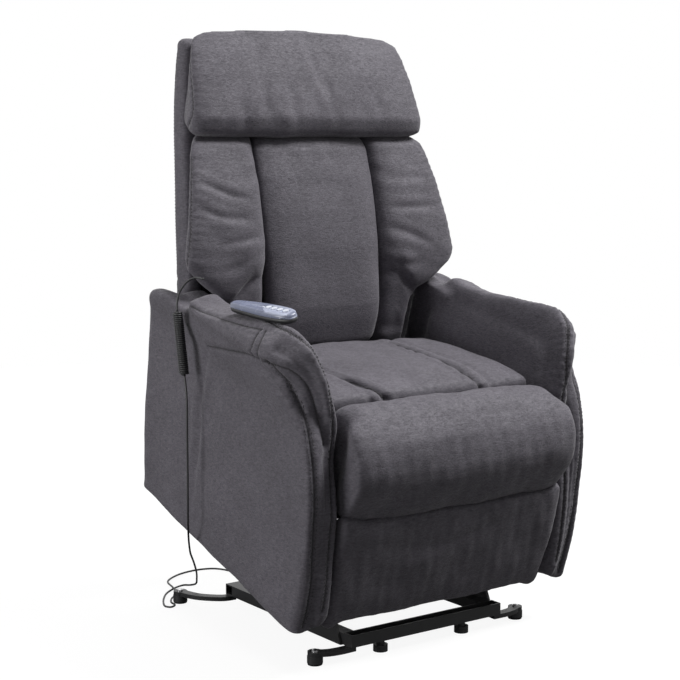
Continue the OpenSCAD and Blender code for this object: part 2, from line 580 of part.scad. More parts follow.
module footrest_drive_links() color(black_steel) on_chair() {
  cross_pin(-plate_x + 0.3, 2 * plate_x - 0.6, foot_pivot, 11);
  cross_pin(-plate_x - plate_t - 4, 2 * (plate_x + plate_t + 4), foot_pivot, 8);
  both_sides() difference() {
    link_plate(foot_drive_x, link_t, foot_pivot, foot_knee, 14);
    cross_pin(foot_drive_x - 1, link_t + 2, foot_pivot, 10);
    cross_pin(foot_drive_x - 1, link_t + 2, foot_knee, pin_r + pin_gap);
  }
}
module footrest_upper_links() color(black_steel) on_chair() both_sides() {
  difference() {
    link_plate(foot_upper_x, link_t, foot_knee, foot_hitch, 13);
    cross_pin(foot_upper_x - 1, link_t + 2, foot_hitch, pin_r + pin_gap);
  }
  cross_pin(foot_upper_x, foot_drive_x - foot_upper_x + link_t + 3, foot_knee, pin_r);
}
module footrest_brackets() color(black_steel) on_chair() both_sides() {
  side_plate(foot_bracket_x, link_t) polygon([[board_y, board_z + 20], [board_y, board_top - 20],
    [board_y + 8, board_top - 20], foot_hitch + [2, 15], foot_hitch + [11, 9], foot_hitch + [13, -4],
    foot_hitch + [6, -14], [board_y + 8, board_z + 20]]);
  cross_pin(foot_bracket_x, foot_upper_x - foot_bracket_x + link_t + 3, foot_hitch, pin_r);
  translate([foot_bracket_x - 22, board_y, board_z + 20]) cube([22, 4, board_h - 40]);
}
module footrest_board() color(wood) on_chair()
  translate([-foot_half + 18, board_y - board_t, board_z]) cube([2 * foot_half - 36, board_t, board_h]);
foot_back = board_y - board_t - 0.3;
foot_outline = smooth_loop([[-287, board_z - 10], [-272, board_z - 13], [foot_back - 6, board_z - 9],
  [foot_back, board_z + 1], [foot_back, board_z + 14], [foot_back, board_top - 14], [foot_back, board_top - 1],
  [foot_back - 6, board_top + 7], [-286, board_top + 6], [-297, board_top - 8], [-299, board_top - 60],
  [-299, board_z + 70], [-296, board_z + 24]], 3);
module footrest_pad() color(fabric) on_chair()
  padded_slab(foot_outline, -foot_half, foot_half, 14);

// ---- Controls ----

module control_box() color(black_plastic) on_chair() difference() {
  translate([-175, 20, 222]) cube([90, 130, 49.7]);
  translate([-120, 110, 221]) cylinder(r = 6, h = 6, $fn = 32);
}
module cord_gland() color(black_plastic) on_chair() translate([-120, 110, 0]) {
  translate([0, 0, 214]) cylinder(r1 = 4, r2 = 5.8, h = 13, $fn = 32);
  translate([0, 0, 218.8]) cylinder(r = 9, h = 3, $fn = 32);
}
track_x = 95;
module recline_track() color(black_steel) on_chair() {
  translate([track_x - 14, -120, 232]) cube([28, 290, 22]);
  translate([track_x - 20, rail_y[2], 254]) cube([40, 24, 18]);
}
module recline_motor() color(black_plastic) on_chair() {
  translate([track_x - 24, 170, 214]) cube([48, 44, 52]);
  translate([track_x + 24, 192, 236]) rotate([0, 90, 0]) cylinder(r = 20, h = 72, $fn = 64);
}
module recline_carriage() color(bright_steel) on_chair() difference() {
  translate([track_x - 21, 20 - 120, 224]) cube([42, 34, 34]);
  translate([track_x - 14.3, -200, 231.7]) cube([28.6, 300, 22.6]);
}

// ---- Handset ----

// The handset lies on the left arm; its own frame has +X towards its front end
module on_arm() on_chair() translate([-(arm_inner + arm_w / 2 + 23), 30, arm_h - 33.4]) rotate([-11, -14, 0]) rotate([0, 0, -77]) children();
module handset_outline(d) {
  l = handset_l / 2 - d;
  w = handset_w / 2 - d;
  polygon(concat(
    [for (a = [-90:15:90]) [l - w * 0.8 + w * 0.8 * cos(a), w * sin(a)]],
    [for (a = [90:15:270]) [-l + w * 0.5 + w * 0.5 * cos(a), w * 0.82 * sin(a)]]));
}
module handset_base() color(black_plastic) on_arm() linear_extrude(12) handset_outline(1);
module handset_cover() color([0.55, 0.6, 0.72]) on_arm() translate([0, 0, 12]) difference() {
  linear_extrude(11) handset_outline(0);
  for (k = [0:3]) translate([20 + 17 * k, 0, 5]) cylinder(r = 6.3, h = 10, $fn = 48);
}
module handset_button(k) color([0.85, 0.87, 0.9]) on_arm() translate([20 + 17 * k, 0, 18.5]) cylinder(r = 6, h = 6, $fn = 48);
module handset_buttons_a() handset_button(0);
module handset_buttons_b() handset_button(1);
module handset_buttons_c() handset_button(2);
module handset_buttons_d() handset_button(3);

// ---- Cord ----

// Points of a curve through p, n to each stretch
function smooth_path(p, n) = let (m = len(p)) concat([
  for (i = [0:m - 2]) for (k = [0:n - 1])
    spline(p[max(i - 1, 0)], p[i], p[i + 1], p[min(i + 2, m - 1)], k / n)], [p[m - 1]]);
function unit(v) = v / norm(v);
// Side directions along a path, carried on without twist
function side_list(path, i, acc) = i >= len(path) ? acc : let (
  t = unit(path[min(i + 1, len(path) - 1)] - path[max(i - 1, 0)]),
  s = acc[i - 1],
  v = unit(s - (s * t) * t))
  side_list(path, i + 1, concat(acc, [v]));
module swept_tube(path, r, sides, first_side) {
  frames = side_list(path, 1, [first_side]);
  skin([for (i = [0:len(path) - 1]) let (
    t = unit(path[min(i + 1, len(path) - 1)] - path[max(i - 1, 0)]),
    u = frames[i],
    w = cross(t, u))
    [for (k = [0:sides - 1]) path[i] + r * (cos(360 * k / sides) * u + sin(360 * k / sides) * w)]]);
}

// Curly stretch: a helix round a hanging line from coil_top to coil_foot
coil_x = -(half_w + 63 * arm_lean + 14);
coil_top = [coil_x, 46 + centre_y, 730];
coil_foot = [coil_x, 20 + centre_y, 592];
lead_points = [[-372, 92, 800], [-382, 110, 802], [-396, 124, 792], [-410, 131, 770], coil_top + [0, 2, 14],
  coil_top + [0, 0.4, 2.8]];
gland = [-120, 80.3, 372.6];
gland_way = [0, sin(lift_tilt), -cos(lift_tilt)];
cord_points = [coil_foot, coil_foot + [0, -4, -16], [-418, 92, 540], [-418, 92, 460], [-418, 92, 380], [-418, 93, 300],
  [-415, 98, 256], [-400, 122, 222], [-370, 170, 188], [-336, 224, 158], [-292, 288, 122], [-250, 350, 86],
  [-212, 408, 52], [-188, 448, 24], [-181, 464, 7], [-192, 473, 3], [-207, 482, 3], [-236, 472, 3], [-274, 445, 3],
  [-302, 411, 3], [-323, 376, 3], [-333, 350, 3], [-325, 336, 3], [-309, 346, 3], [-304, 373, 3], [-284, 402, 3],
  [-256, 425, 3], [-245, 468, 7.5], [-226, 525, 3], [-204, 551, 3], [-160, 576, 3], [-106, 584, 3], [-62, 567, 3],
  [-42, 520, 3], [-40, 460, 3], [-48, 380, 3], [-66, 290, 3], [-90, 210, 4], [-112, 150, 30], [-120, 124, 90],
  [-120, 114, 160], [-120, 108, 240], [-120, 98, 310], gland + 26 * gland_way, gland];

module handset_lead() color(black_plastic) swept_tube(smooth_path(lead_points, 4), cord_d / 2, 8, [0, 0, 1]);
module handset_cord() color(black_plastic) swept_tube(smooth_path(cord_points, 2), cord_d / 2, 8, [1, 0, 0]);
helix_r = (curl_d - cord_d) / 2;
curl_rings = 8;
function helix(i) = let (
  n = curls * curl_rings,
  f = i / n,
  open = min(1, min(i, n - i) / curl_rings),
  c = coil_top + (coil_foot - coil_top) * f)
  c + helix_r * open * [cos(360 * i / curl_rings), sin(360 * i / curl_rings), 0];
curl_pitch = norm(coil_foot - coil_top) / curls;
echo(least_gap_between_curls = curl_pitch - cord_d);
module handset_coil() color(black_plastic)
  skin([for (i = [0:curls * curl_rings]) let (
    t = unit(helix(min(i + 1, curls * curl_rings)) - helix(max(i - 1, 0))),
    out = [cos(360 * i / curl_rings), sin(360 * i / curl_rings), 0],
    u = unit(out - (out * t) * t),
    w = cross(t, u))
    [for (k = [0:5]) helix(i) + cord_d / 2 * (cos(60 * k) * u + sin(60 * k) * w)]]);

base_side_rails();
base_front_bar();
base_rear_bar();
base_pivot_brackets();
foot_arms();
foot_pads();
front_glides();
base_screws();
front_link_pins();
lift_actuator_clevis();
rear_lift_links();
lift_torque_tube();
front_lift_links();
lift_motor();
lift_tube();
lift_rod();
chassis_plates();
chassis_pins();
seat_rails();
seat_springs();
arm_brackets();
left_arm_frame();
right_arm_frame();
left_side_panel();
right_side_panel();
left_arm_pad();
right_arm_pad();
rear_panel();
seat_cushion();
seat_front_roll();
control_box();
recline_motor();
recline_track();
recline_carriage();
back_shell();
back_frame();
back_hinge_brackets();
headrest_cushion();
back_centre_cushion();
back_left_wing();
back_right_wing();
footrest_drive_links();
footrest_upper_links();
footrest_brackets();
footrest_board();
footrest_pad();
handset_base();
handset_cover();
handset_buttons_a();
handset_buttons_b();
handset_buttons_c();
handset_buttons_d();
cord_gland();
handset_lead();
handset_coil();
handset_cord();
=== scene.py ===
"""Looks of the powered lift chair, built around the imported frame."""

import math

import bpy
import numpy as np
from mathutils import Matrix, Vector
from mathutils.bvhtree import BVHTree
from mathutils.kdtree import KDTree


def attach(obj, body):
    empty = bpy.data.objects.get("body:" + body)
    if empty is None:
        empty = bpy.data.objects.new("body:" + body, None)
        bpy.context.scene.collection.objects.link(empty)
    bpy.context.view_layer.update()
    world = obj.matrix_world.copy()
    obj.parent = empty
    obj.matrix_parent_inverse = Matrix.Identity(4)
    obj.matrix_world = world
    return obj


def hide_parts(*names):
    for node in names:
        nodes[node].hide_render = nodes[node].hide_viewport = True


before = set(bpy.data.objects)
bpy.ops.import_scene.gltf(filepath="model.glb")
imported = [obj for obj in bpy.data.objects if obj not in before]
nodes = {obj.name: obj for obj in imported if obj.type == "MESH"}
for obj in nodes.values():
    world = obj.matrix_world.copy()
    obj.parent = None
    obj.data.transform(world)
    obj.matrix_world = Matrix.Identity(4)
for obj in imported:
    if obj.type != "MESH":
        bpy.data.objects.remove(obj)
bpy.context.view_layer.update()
scene = bpy.context.scene

# ---------------------------------------------------------------- frames
# The chair's own frame stands level, in mm. The row frame holds the chair raised by RISE and tilted
# forward by TILT.
TILT = math.radians(17.7)
RISE = 142.0
CENTRE_Y = 83.8
COS, SIN = math.cos(TILT), math.sin(TILT)
SIDES = ((-1, "left"), (1, "right"))


def to_row(p):
    """Points of the chair's own frame, mm, in the row frame, metres."""
    p = np.asarray(p, float)
    z = p[..., 2] + RISE
    return np.stack([p[..., 0], CENTRE_Y + p[..., 1] * COS - z * SIN, p[..., 1] * SIN + z * COS], -1) / 1000


def to_chair(q):
    """Points of the row frame, metres, in the chair's own frame, mm."""
    q = np.asarray(q, float) * 1000
    y = q[..., 1] - CENTRE_Y
    return np.stack([q[..., 0], y * COS + q[..., 2] * SIN, -y * SIN + q[..., 2] * COS - RISE], -1)


# ---------------------------------------------------------------- objects and meshes
def add_object(name, data):
    ob = bpy.data.objects.new(name, data)
    scene.collection.objects.link(ob)
    return ob


def make_mesh(name, verts, faces, smooth=True):
    me = bpy.data.meshes.new(name)
    me.from_pydata([tuple(map(float, v)) for v in verts], [], faces)
    me.update()
    if smooth:
        me.polygons.foreach_set("use_smooth", [True] * len(me.polygons))
    return me


def modify(ob, kind, **values):
    """Adds a modifier of this kind with these values."""
    mod = ob.modifiers.new(kind.lower(), kind)
    for key, value in values.items():
        setattr(mod, key, value)


def applied_mesh(ob):
    """A new mesh of the object with its modifiers applied."""
    graph = bpy.context.evaluated_depsgraph_get()
    return bpy.data.meshes.new_from_object(ob.evaluated_get(graph))


# ---------------------------------------------------------------- camera
SENSOR, LENS = 36, 84.8
CAMERA_PLACE = (-2.152, -2.8792, 1.10)
CAMERA_PITCH, CAMERA_HEADING = math.radians(82.85), math.radians(-35.8)

cam_data = bpy.data.cameras.new("camera")
cam_data.sensor_width = SENSOR
cam_data.lens = LENS
camera = add_object("camera", cam_data)
camera.location = CAMERA_PLACE
camera.rotation_euler = (CAMERA_PITCH, 0, CAMERA_HEADING)
scene.camera = camera
scene.view_settings.view_transform = "Standard"


# ---------------------------------------------------------------- materials
class Shader:
    """A node material with a Principled shader and short ways to add nodes."""

    def __init__(self, name, colour, roughness, metallic=0.0):
        self.material = bpy.data.materials.new(name)
        self.material.use_nodes = True
        self.tree = self.material.node_tree
        self.tree.nodes.clear()
        self.out = self.tree.nodes.new("ShaderNodeOutputMaterial")
        self.bsdf = self.tree.nodes.new("ShaderNodeBsdfPrincipled")
        self.tree.links.new(self.bsdf.outputs[0], self.out.inputs[0])
        self.set(self.bsdf, "Base Color", (*colour, 1))
        self.set(self.bsdf, "Roughness", roughness)
        self.set(self.bsdf, "Metallic", metallic)

    def set(self, node, socket, value):
        node.inputs[socket].default_value = value

    def link(self, a, b):
        self.tree.links.new(a, b)

    def node(self, kind, **inputs):
        n = self.tree.nodes.new(kind)
        for k, v in inputs.items():
            n.inputs[k].default_value = v
        return n

    def coords(self, scale, turn=(0, 0, 0)):
        tc = self.tree.nodes.new("ShaderNodeTexCoord")
        m = self.node("ShaderNodeMapping", Scale=scale, Rotation=turn)
        self.link(tc.outputs["Object"], m.inputs["Vector"])
        return m.outputs[0]

    def noise(self, vector, scale, detail=2.0, rough=0.5, warp=0.0):
        n = self.node("ShaderNodeTexNoise", Scale=scale, Detail=detail, Roughness=rough, Distortion=warp)
        self.link(vector, n.inputs["Vector"])
        return n.outputs["Fac"]

    def ramp(self, value, low, high, a, b):
        r = self.node("ShaderNodeMapRange")
        r.inputs["From Min"].default_value = low
        r.inputs["From Max"].default_value = high
        r.inputs["To Min"].default_value = a
        r.inputs["To Max"].default_value = b
        self.link(value, r.inputs["Value"])
        return r.outputs[0]

    def math(self, op, a, b):
        m = self.tree.nodes.new("ShaderNodeMath")
        m.operation = op
        for i, v in enumerate((a, b)):
            if isinstance(v, (int, float)):
                m.inputs[i].default_value = v
            else:
                self.link(v, m.inputs[i])
        return m.outputs[0]

    def tint(self, value, colour):
        """The colour times a grey value, on Base Color."""
        m = self.tree.nodes.new("ShaderNodeMix")
        m.data_type = "RGBA"
        m.blend_type = "MULTIPLY"
        m.inputs[0].default_value = 1.0
        m.inputs["A"].default_value = (*colour, 1)
        self.link(value, m.inputs["B"])
        self.link(m.outputs["Result"], self.bsdf.inputs["Base Color"])

    def bump(self, height, distance, strength=1.0):
        b = self.node("ShaderNodeBump", Strength=strength, Distance=distance)
        self.link(height, b.inputs["Height"])
        self.link(b.outputs[0], self.bsdf.inputs["Normal"])


FABRIC = (0.104, 0.0965, 0.1135)
WOOD = (0.52, 0.36, 0.2)
GRAIN_SCALE, PEBBLE_SCALE, CLOUD_SCALE, PATCH_SCALE = 285, 760, 12, 70
GRAIN_DEPTH = 0.0011


def fabric_material():
    """The cover: short dashes and a finer pebble, with cloudy tones and painted shade along the seams."""
    s = Shader("grey_fabric", FABRIC, 0.78)
    s.set(s.bsdf, "Sheen Weight", 0.18)
    s.set(s.bsdf, "Sheen Roughness", 0.45)
    s.set(s.bsdf, "Specular IOR Level", 0.25)
    turn = (-TILT, 0, 0)
    flat = s.coords((1, 1, 1), turn)
    grain = s.coords((0.38, 0.38, 1.0), turn)
    dashes = s.noise(grain, GRAIN_SCALE, 3.0, 0.62, 0.9)
    pebble = s.noise(s.coords((0.7, 0.7, 1.0), turn), PEBBLE_SCALE, 2.0, 0.6, 1.2)
    cloud = s.noise(flat, CLOUD_SCALE, 3.0, 0.6)
    patch = s.noise(flat, PATCH_SCALE, 2.0, 0.6)
    tone = s.math("MULTIPLY", s.ramp(cloud, 0.3, 0.7, 0.90, 1.10), s.ramp(patch, 0.3, 0.7, 0.94, 1.06))
    tone = s.math("MULTIPLY", tone, s.ramp(dashes, 0.3, 0.7, 0.74, 1.26))
    tone = s.math("MULTIPLY", tone, s.ramp(pebble, 0.3, 0.7, 0.9, 1.1))
    # Painted shade: the colour falls to 0.3 of itself along the seams, where their grooves lie in shade.
    seam = s.tree.nodes.new("ShaderNodeAttribute")
    seam.attribute_name = "seam"
    tone = s.math("MULTIPLY", tone, s.ramp(seam.outputs["Fac"], 0, 1, 1.0, 0.3))
    s.tint(tone, FABRIC)
    height = s.math("ADD", dashes, s.math("MULTIPLY", pebble, 0.5))
    s.bump(height, GRAIN_DEPTH, 0.8)
    rough = s.ramp(dashes, 0.3, 0.7, 0.8, 0.5)
    s.link(rough, s.bsdf.inputs["Roughness"])
    return s.material


def steel_material(name, colour, roughness, metallic, scale, streak):
    s = Shader(name, colour, roughness, metallic)
    v = s.coords(streak)
    n = s.noise(v, scale, 3.0, 0.6)
    big = s.noise(s.coords((1, 1, 1)), 30, 2.0, 0.5)
    s.tint(s.math("MULTIPLY", s.ramp(n, 0.3, 0.7, 0.92, 1.08), s.ramp(big, 0.3, 0.7, 0.9, 1.1)), colour)
    s.link(s.ramp(n, 0.3, 0.7, max(0.05, roughness - 0.08), roughness + 0.1), s.bsdf.inputs["Roughness"])
    s.bump(n, 0.0002, 0.3)
    return s.material


def plastic_material(name, colour, roughness, grain=1500, depth=0.00012):
    s = Shader(name, colour, roughness)
    v = s.coords((1, 1, 1))
    n = s.noise(v, grain, 2.0, 0.5)
    wear = s.noise(v, 45, 3.0, 0.6)
    s.tint(s.ramp(wear, 0.3, 0.7, 0.93, 1.07), colour)
    s.link(s.ramp(wear, 0.3, 0.7, max(0.05, roughness - 0.05), roughness + 0.06), s.bsdf.inputs["Roughness"])
    s.bump(n, depth, 0.5)
    return s.material


def wood_material():
    s = Shader("plywood", WOOD, 0.62)
    rings = s.noise(s.coords((3, 1, 60)), 6, 4.0, 0.6)
    s.tint(s.ramp(rings, 0.3, 0.7, 0.75, 1.15), WOOD)
    s.bump(rings, 0.0004, 0.3)
    return s.material


fabric = fabric_material()
thread = plastic_material("thread", (0.02, 0.018, 0.021), 0.6, 2500)
# Painted shadow: a near-black finish for thin tubes laid in the seams' grooves, where there is only shade.
seam_shadow_line = plastic_material("seam_shadow", (0.02, 0.018, 0.02), 0.9, 2500)
black_steel = steel_material("black_steel", (0.016, 0.016, 0.017), 0.38, 0.0, 700, (1, 1, 1))
bright_steel = steel_material("bright_steel", (0.62, 0.62, 0.63), 0.26, 1.0, 300, (12, 1, 1))
black_plastic = plastic_material("black_plastic", (0.014, 0.014, 0.015), 0.5)
rubber = plastic_material("cord_rubber", (0.010, 0.010, 0.011), 0.42, 1800, 0.00006)
handset_blue = plastic_material("handset_blue_grey", (0.20, 0.22, 0.31), 0.26, 2400, 0.00004)
handset_pale = plastic_material("handset_pale", (0.80, 0.83, 0.92), 0.2, 2400, 0.00003)
handset_nose = plastic_material("handset_nose", (0.42, 0.45, 0.57), 0.22, 2400, 0.00003)
plywood = wood_material()

# ---------------------------------------------------------------- handset cord (mm, row frame)
HALF_W, ARM_LEAN = 380, 0.36
CORD_D, CURL_D, CURLS, CURL_RINGS, CORD_SIDES = 4.6, 22.6, 31, 16, 10
COIL_X = -(HALF_W + 63 * ARM_LEAN + 14)
coil_top = np.array([COIL_X, 129.8, 730.0])
coil_foot = np.array([COIL_X, 103.8, 592.0])
gland = np.array([-120, 80.3, 372.6])
gland_way = np.array([0, SIN, -COS])
lead_points = [(-372, 92, 800), (-382, 110, 802), (-396, 124, 792), (-410, 131, 770), coil_top + [0, 2, 14],
               coil_top + [0, 0.4, 2.8]]
cord_points = [
    coil_foot, coil_foot + [0, -4, -16], (-418, 92, 540), (-418, 92, 460), (-418, 92, 380), (-418, 93, 300),
    (-415, 98, 256), (-400, 122, 222), (-370, 170, 188), (-336, 224, 158), (-292, 288, 122), (-250, 350, 86),
    (-212, 408, 52), (-188, 448, 24), (-181, 464, 7), (-192, 473, 3), (-207, 482, 3), (-236, 472, 3),
    (-274, 445, 3), (-302, 411, 3), (-323, 376, 3), (-333, 350, 3), (-325, 336, 3), (-309, 346, 3),
    (-304, 373, 3), (-284, 402, 3), (-256, 425, 3), (-245, 468, 7.5), (-226, 525, 3), (-204, 551, 3),
    (-160, 576, 3), (-106, 584, 3), (-62, 567, 3), (-42, 520, 3), (-40, 460, 3), (-48, 380, 3),
    (-66, 290, 3), (-90, 210, 4), (-112, 150, 30), (-120, 124, 90),
    (-120, 114, 160), (-120, 108, 240), (-120, 98, 310), gland + 26 * gland_way, gland]


def spline_path(points, n):
    """A smooth line through the points, with n steps between each two."""
    p = [np.array(q, float) for q in points]
    out = []
    for i in range(len(p) - 1):
        a, b, c, d = p[max(i - 1, 0)], p[i], p[i + 1], p[min(i + 2, len(p) - 1)]
        for k in range(n):
            t = k / n
            out.append(0.5 * (2 * b + (c - a) * t + (2 * a - 5 * b + 4 * c - d) * t * t
                              + (3 * b - a - 3 * c + d) * t ** 3))
    out.append(p[-1])
    return np.array(out)


def helix_path(curls, rings, radius):
    """The curls from coil_top to coil_foot, opening and closing over one turn at the ends."""
    n = curls * rings
    i = np.arange(n + 1)
    f = i / n
    opened = np.minimum(1, np.minimum(i, n - i) / rings)
    a = 2 * math.pi * i / rings
    c = coil_top + (coil_foot - coil_top) * f[:, None]
    return c + radius * opened[:, None] * np.stack([np.cos(a), np.sin(a), 0 * a], 1)


def tube_mesh(name, path, radius, sides):
    """A closed tube along path, whose rings don't twist."""
    m = len(path)
    tang = np.array([path[min(i + 1, m - 1)] - path[max(i - 1, 0)] for i in range(m)])
    tang /= np.linalg.norm(tang, axis=1)[:, None]
    u = np.array((0, 0, 1), float)
    verts, faces = [], []
    for i in range(m):
        u = u - (u @ tang[i]) * tang[i]
        u /= np.linalg.norm(u)
        w = np.cross(tang[i], u)
        for k in range(sides):
            a = 2 * math.pi * k / sides
            verts.append(path[i] + radius * (math.cos(a) * u + math.sin(a) * w))
    for i in range(m - 1):
        for k in range(sides):
            a, b = i * sides + k, i * sides + (k + 1) % sides
            faces.append((a, b, b + sides, a + sides))
    faces.append(tuple(range(sides - 1, -1, -1)))
    faces.append(tuple((m - 1) * sides + k for k in range(sides)))
    return make_mesh(name, verts, faces)


lead = spline_path(lead_points, 6)
curl = helix_path(CURLS, CURL_RINGS, (CURL_D - CORD_D) / 2)
tail = spline_path(cord_points, 4)
whole = np.vstack([lead[:-1], curl, tail[1:]]) / 1000
cord = add_object("handset_curly_cord", tube_mesh("handset_curly_cord", whole, CORD_D / 2000, CORD_SIDES))
cord.data.materials.append(rubber)
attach(cord, "chassis")
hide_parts("handset_lead", "handset_coil", "handset_cord")


# ---------------------------------------------------------------- soft pieces
def field(p, size, seed, waves=7):
    """Smooth pseudo-random field of about unit size over points p in mm."""
    rng = np.random.default_rng(seed)
    total = np.zeros(len(p))
    for _ in range(waves):
        d = rng.normal(size=3)
        d /= np.linalg.norm(d)
        k = 2 * math.pi / (size * rng.uniform(0.6, 1.6))
        total += np.sin(p @ d * k + rng.uniform(0, 6.28))
    return total / math.sqrt(waves / 2)


def bell(x, width):
    """1 at zero, falling off evenly on both sides."""
    return np.exp(-(x / width) ** 2)


def ease(x, a, b):
    """A smooth step from 0 at a to 1 at b."""
    t = np.clip((x - a) / (b - a), 0, 1)
    return t * t * (3 - 2 * t)


BOX_FACES = [(0, 1, 3, 2), (4, 6, 7, 5), (0, 4, 5, 1), (2, 3, 7, 6), (0, 2, 6, 4), (1, 5, 7, 3)]
LINE_STEP = 2.0  # mm between the points of a traced line
TRACE_STEPS = 14
# Radius of the stitch thread, and of the dark tubes of painted shadow in the seams.
THREAD_AND_SHADOW_R = 0.0008


class Soft:
    """A cover or cushion grown from its CAD solids: remeshed, relaxed, then moved along its normals."""

    def __init__(self, name, sources, body, voxel=5.0, relax=10, levels=1, fill=0.6, grow=0.0, close=0.0,
                 blocks=()):
        """close fills hollows up to that many mm; blocks are boxes added in the chair's frame."""
        self.name, self.body = name, body
        verts, faces = [], []
        for n in sources:
            me = nodes[n].data
            start = len(verts)
            verts += [v.co.copy() for v in me.vertices]
            faces += [tuple(start + i for i in p.vertices) for p in me.polygons]
        for lo, hi in blocks:
            start = len(verts)
            verts += [Vector(to_row((x, y, z)))
                      for x in (lo[0], hi[0]) for y in (lo[1], hi[1]) for z in (lo[2], hi[2])]
            faces += [tuple(start + i for i in f) for f in BOX_FACES]
        rough = add_object(name + "_rough", make_mesh(name + "_rough", verts, faces))
        remesh = dict(mode="VOXEL", voxel_size=voxel / 1000, adaptivity=0)
        modify(rough, "REMESH", **remesh)
        if close:
            for step in (close, -close):
                modify(rough, "DISPLACE", strength=step / 1000, mid_level=0)
                modify(rough, "REMESH", **remesh)
                modify(rough, "SMOOTH", factor=0.5, iterations=3)
        modify(rough, "SMOOTH", factor=0.5, iterations=relax)
        if levels:
            modify(rough, "SUBSURF", levels=levels, render_levels=levels)
        self.mesh = applied_mesh(rough)
        self.mesh.name = name
        bpy.data.objects.remove(rough)
        self.mesh.materials.clear()
        self.object = add_object(name, self.mesh)
        self.read()
        self.seam = np.zeros(len(self.co))
        self.seams = []
        if grow:
            self.push(np.full(len(self.co), grow))
        self.sources, self.fill = sources, fill

    def read(self):
        """Takes up the points and normals: co and no in the row frame, p and n in the chair's frame."""
        count = len(self.mesh.vertices)
        co = np.zeros(count * 3, np.float32)
        self.mesh.vertices.foreach_get("co", co)
        self.co = co.reshape(-1, 3).astype(float)
        no = np.zeros(count * 3, np.float32)
        self.mesh.vertex_normals.foreach_get("vector", no)
        self.no = no.reshape(-1, 3).astype(float)
        self.p = to_chair(self.co)
        n = self.no
        self.n = np.stack([n[:, 0], n[:, 1] * COS + n[:, 2] * SIN, -n[:, 1] * SIN + n[:, 2] * COS], 1)
        self.tree = None

    def write(self, co):
        self.mesh.vertices.foreach_set("co", co.astype(np.float32).ravel())
        self.mesh.update()
        self.read()

    def push(self, d):
        """Moves each point along its normal by d, mm."""
        self.write(self.co + self.no * (np.asarray(d)[:, None] / 1000))

    def shift(self, v):
        """Moves each point by v, mm in the chair's frame."""
        self.write(to_row(self.p + v))

    def bvh(self):
        if self.tree is None:
            faces = [tuple(p.vertices) for p in self.mesh.polygons]
            self.tree = BVHTree.FromPolygons([Vector(c) for c in self.co], faces)
        return self.tree

    def trace(self, points):
        """A line through points of the chair's frame, laid on the surface, evenly. Row frame, metres."""
        line = to_row(spline_path(points, TRACE_STEPS))
        tree = self.bvh()
        hit = np.array([tree.find_nearest(Vector(q))[0] for q in line])
        for _ in range(2):
            hit[1:-1] = (hit[:-2] + 2 * hit[1:-1] + hit[2:]) / 4
        s = np.concatenate([[0], np.cumsum(np.linalg.norm(np.diff(hit, axis=0), axis=1))])
        even = np.arange(0, s[-1], LINE_STEP / 1000)
        return np.stack([np.interp(even, s, hit[:, k]) for k in range(3)], 1)

    def near(self, line, reach):
        """Each point's distance to a traced line and its place along it, mm; far ones get a large one."""
        kd = KDTree(len(line))
        for i, q in enumerate(line):
            kd.insert(Vector(q), i)
        kd.balance()
        lo, hi = line.min(0) - reach / 1000, line.max(0) + reach / 1000
        inside = np.where(((self.co > lo) & (self.co < hi)).all(1))[0]
        dist = np.full(len(self.co), 1e3)
        along = np.zeros(len(self.co))
        for i in inside:
            _, j, d = kd.find(Vector(self.co[i]))
            dist[i], along[i] = d * 1000, j * LINE_STEP
        return dist, along

    def sew(self, points, depth=3.0, width=4.0, puff=1.2, pucker=0.0, pitch=26.0, stitches=(), shade_width=2.6,
            seed=1):
        """Draws the cover in along one of its seams, puffs it beside, paints shade in a narrow band along it,
        and adds its thread.
        """
        path = self.trace(points)
        dist, along = self.near(path, 70)
        d = -depth * bell(dist, width) + puff * bell(dist - 3.2 * width, 1.6 * width)
        if pucker:
            wob = np.sin(2 * math.pi * along / pitch + 1.7 * np.sin(along / 41.0 + seed) + seed)
            d += pucker * wob * np.exp(-dist / 22.0) * (dist < 400) * np.minimum(1, dist / 5.0)
        self.push(d)
        # Painted shade: a mask that darkens the cover's colour in a narrow band along this line.
        self.seam = np.maximum(self.seam, bell(dist, shade_width))
        self.seams.append((path, stitches))

    def crease(self, points, depth=2.0, width=9.0, ridge=0.6):
        """A soft fold with no thread, that fades out at both ends."""
        path = self.trace(points)
        dist, along = self.near(path, 80)
        total = LINE_STEP * len(path)
        fade = np.sin(np.clip(along / total, 0.02, 0.98) * math.pi) ** 0.7
        self.push(fade * (-depth * bell(dist, width) + ridge * depth * bell(dist - 2.2 * width, 1.3 * width)))

    def finish(self):
        """Writes the attribute of painted shade along the seams, adds the thread stitches and the dark tubes
        of painted shadow in the seams, and hands the piece to the frame.
        """
        # The painted shade along the seams goes to the fabric as a point attribute.
        a = self.mesh.attributes.new("seam", "FLOAT", "POINT")
        a.data.foreach_set("value", self.seam.astype(np.float32))
        self.mesh.polygons.foreach_set("use_smooth", [True] * len(self.mesh.polygons))
        self.mesh.materials.append(fabric)
        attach(self.object, self.body)
        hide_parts(*self.sources)
        tv, tf, lv, lf = [], [], [], []
        tree = self.bvh()
        for path, offsets in self.seams:
            hits = [tree.find_nearest(Vector(q)) for q in path]
            q = np.array([h[0] for h in hits])
            nn = np.array([h[1] for h in hits])
            t = np.gradient(q, axis=0)
            t /= np.linalg.norm(t, axis=1)[:, None] + 1e-12
